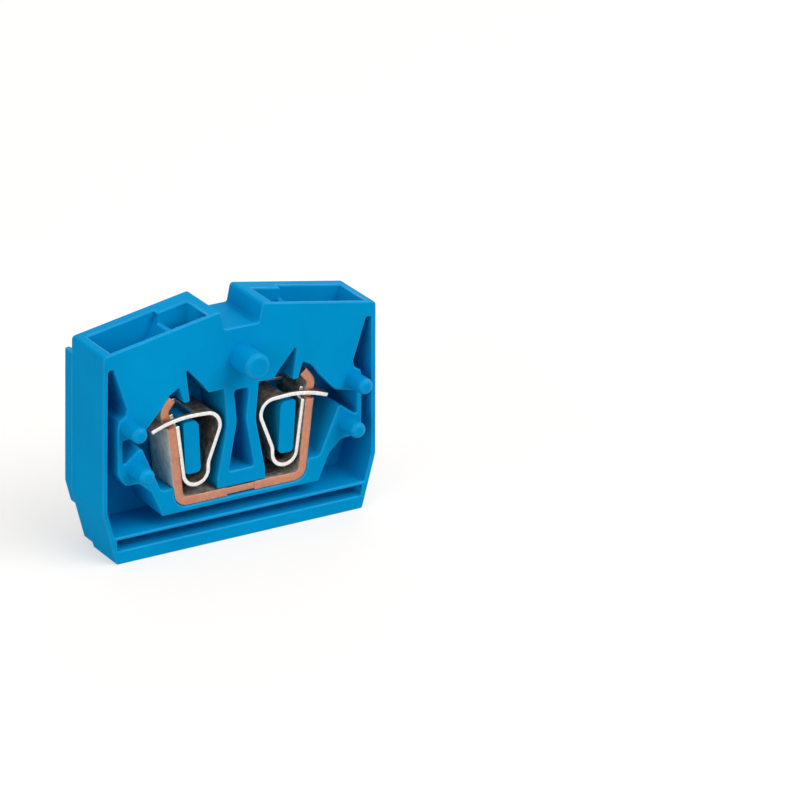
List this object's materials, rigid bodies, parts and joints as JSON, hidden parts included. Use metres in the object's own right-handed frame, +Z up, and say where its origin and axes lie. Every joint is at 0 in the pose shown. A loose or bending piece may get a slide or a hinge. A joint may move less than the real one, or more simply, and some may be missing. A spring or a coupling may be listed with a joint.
{
  "type": "spring clamp terminal block",
  "caption": "Rail-mount spring clamp terminal block, open on one side: blue moulded housing with stacking pegs, folded copper current bar and steel clamp springs over wire entries.",
  "frame": {"origin": "middle of the base, half way along the block and half way across its stacking width", "axes": "+X along the block, +Y from the open face to the closed back, +Z up"},
  "size_m": [0.028, 0.0116, 0.022],
  "materials": {
    "housing": "satin moulded polyamide",
    "current_bar": "copper, tin-plated on its rolled faces and bare on its cut edges",
    "clamp_spring": "bright spring steel strip with sheared edges"
  },
  "bodies": {
    "block": {"housing": "housing", "current_bar": "current_bar"},
    "left_spring": {"left_clamp_spring": "clamp_spring"},
    "right_spring": {"right_clamp_spring": "clamp_spring"}
  },
  "joints": [
    {"name": "left_clamp_open", "type": "slide", "parent": "block", "child": "left_spring", "axis": [-0.9925, 0, -0.1219], "range_m": [0, 0.0016], "stiffness_N_per_m": 4000, "deforming": ["left_clamp_spring"]},
    {"name": "right_clamp_open", "type": "slide", "parent": "block", "child": "right_spring", "axis": [0.9925, 0, -0.1219], "range_m": [0, 0.0016], "stiffness_N_per_m": 4000, "deforming": ["right_clamp_spring"]}
  ]
}
